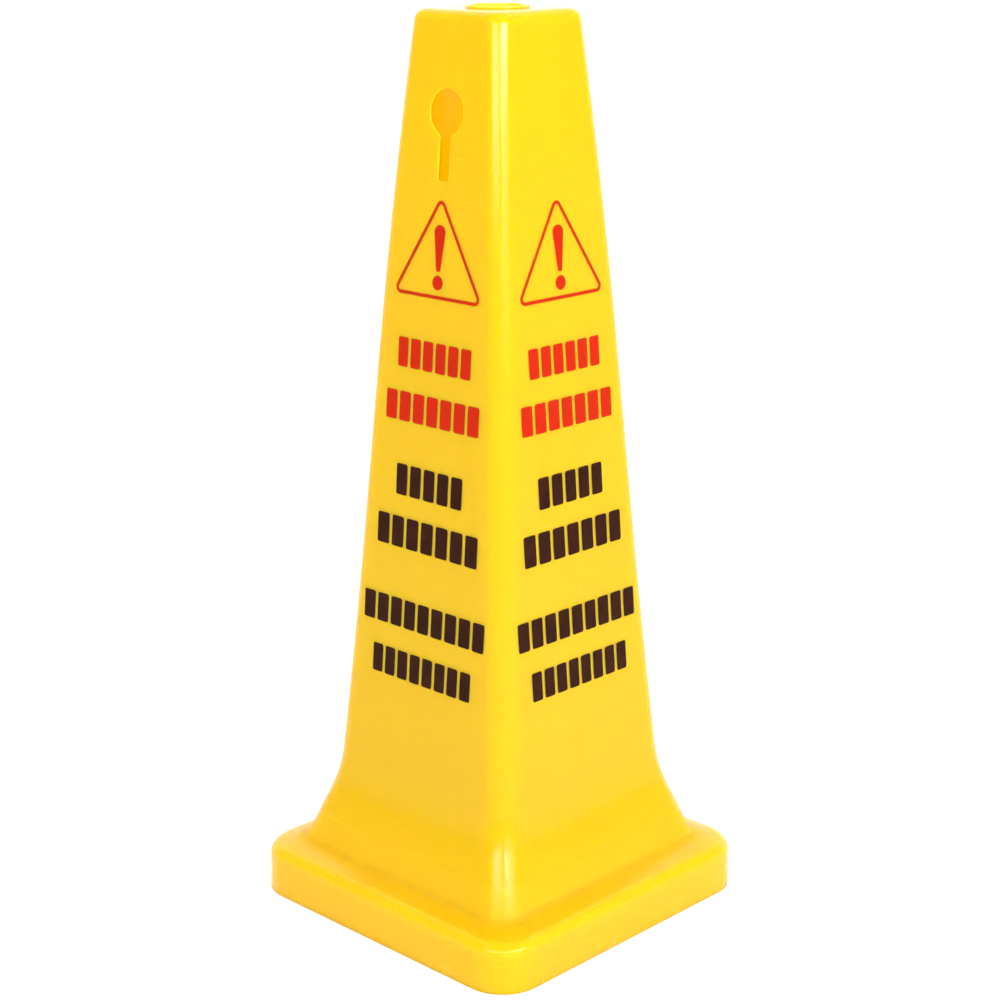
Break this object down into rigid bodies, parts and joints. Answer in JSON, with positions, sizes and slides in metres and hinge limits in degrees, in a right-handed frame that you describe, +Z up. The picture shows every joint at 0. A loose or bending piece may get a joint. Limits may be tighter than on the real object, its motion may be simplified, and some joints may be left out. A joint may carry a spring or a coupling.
{
  "type": "wet floor sign",
  "caption": "Free-standing hollow square-section caution cone on a wide base, with chain keyholes, an open top socket and printed warning marks on every face.",
  "frame": {"origin": "on the floor, under the centre of the square base", "axes": "+Z up the cone; the faces with a keyhole look along -Y (front) and +Y (back), the plain printed faces along +X and -X"},
  "size_m": [0.267, 0.267, 0.66],
  "materials": {
    "yellow_plastic": "satin moulded polyolefin",
    "red_ink": "screen-printed ink",
    "black_ink": "screen-printed ink"
  },
  "bodies": {
    "root": {"cone_body": "yellow_plastic", "front_triangle": "red_ink", "front_alert_bar": "red_ink", "front_alert_dot": "red_ink", "front_red_line_1": "red_ink", "front_red_line_2": "red_ink", "front_black_line_1": "black_ink", "front_black_line_2": "black_ink", "front_black_line_3": "black_ink", "front_black_line_4": "black_ink", "right_triangle": "red_ink", "right_alert_bar": "red_ink", "right_alert_dot": "red_ink", "right_red_line_1": "red_ink", "right_red_line_2": "red_ink", "right_black_line_1": "black_ink", "right_black_line_2": "black_ink", "right_black_line_3": "black_ink", "right_black_line_4": "black_ink", "back_triangle": "red_ink", "back_alert_bar": "red_ink", "back_alert_dot": "red_ink", "back_red_line_1": "red_ink", "back_red_line_2": "red_ink", "back_black_line_1": "black_ink", "back_black_line_2": "black_ink", "back_black_line_3": "black_ink", "back_black_line_4": "black_ink", "left_triangle": "red_ink", "left_alert_bar": "red_ink", "left_alert_dot": "red_ink", "left_red_line_1": "red_ink", "left_red_line_2": "red_ink", "left_black_line_1": "black_ink", "left_black_line_2": "black_ink", "left_black_line_3": "black_ink", "left_black_line_4": "black_ink"}
  },
  "joints": []
}
